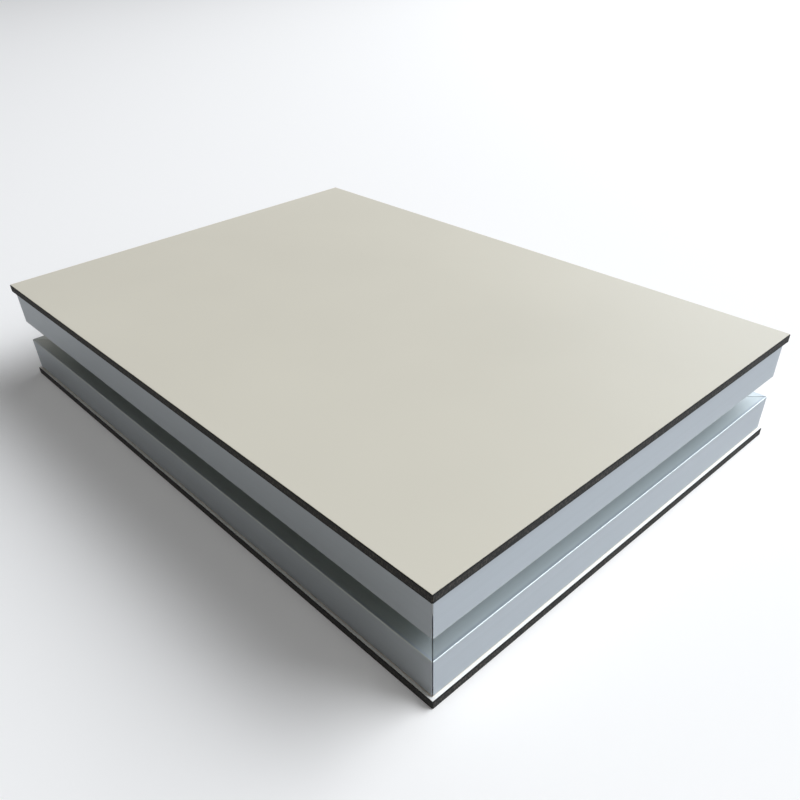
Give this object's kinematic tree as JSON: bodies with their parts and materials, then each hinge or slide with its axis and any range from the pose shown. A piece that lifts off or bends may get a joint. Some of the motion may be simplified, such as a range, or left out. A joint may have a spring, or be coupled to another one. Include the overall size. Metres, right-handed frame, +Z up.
{
  "type": "cleanroom sandwich panel",
  "caption": "Rectangular cleanroom sandwich panel sample: laminate boards bonded to a mitred aluminium edge frame, with a groove all round the edge for a joining spline.",
  "frame": {"origin": "centre of the bottom board's underside, in the plane that the panel lies on", "axes": "+X along the length, +Y along the width, +Z up through the thickness"},
  "size_m": [0.297, 0.21, 0.0503],
  "materials": {
    "laminate": "satin",
    "anodised_frame": "satin",
    "corner_key": "satin",
    "core_foil": "gloss"
  },
  "bodies": {
    "root": {"top_facing": "laminate", "bottom_facing": "laminate", "frame_front": "anodised_frame", "frame_back": "anodised_frame", "frame_left": "anodised_frame", "frame_right": "anodised_frame", "key_lower_front_left": "corner_key", "key_lower_front_right": "corner_key", "key_lower_back_right": "corner_key", "key_lower_back_left": "corner_key", "key_upper_front_left": "corner_key", "key_upper_front_right": "corner_key", "key_upper_back_right": "corner_key", "key_upper_back_left": "corner_key", "core": "core_foil"}
  },
  "joints": []
}
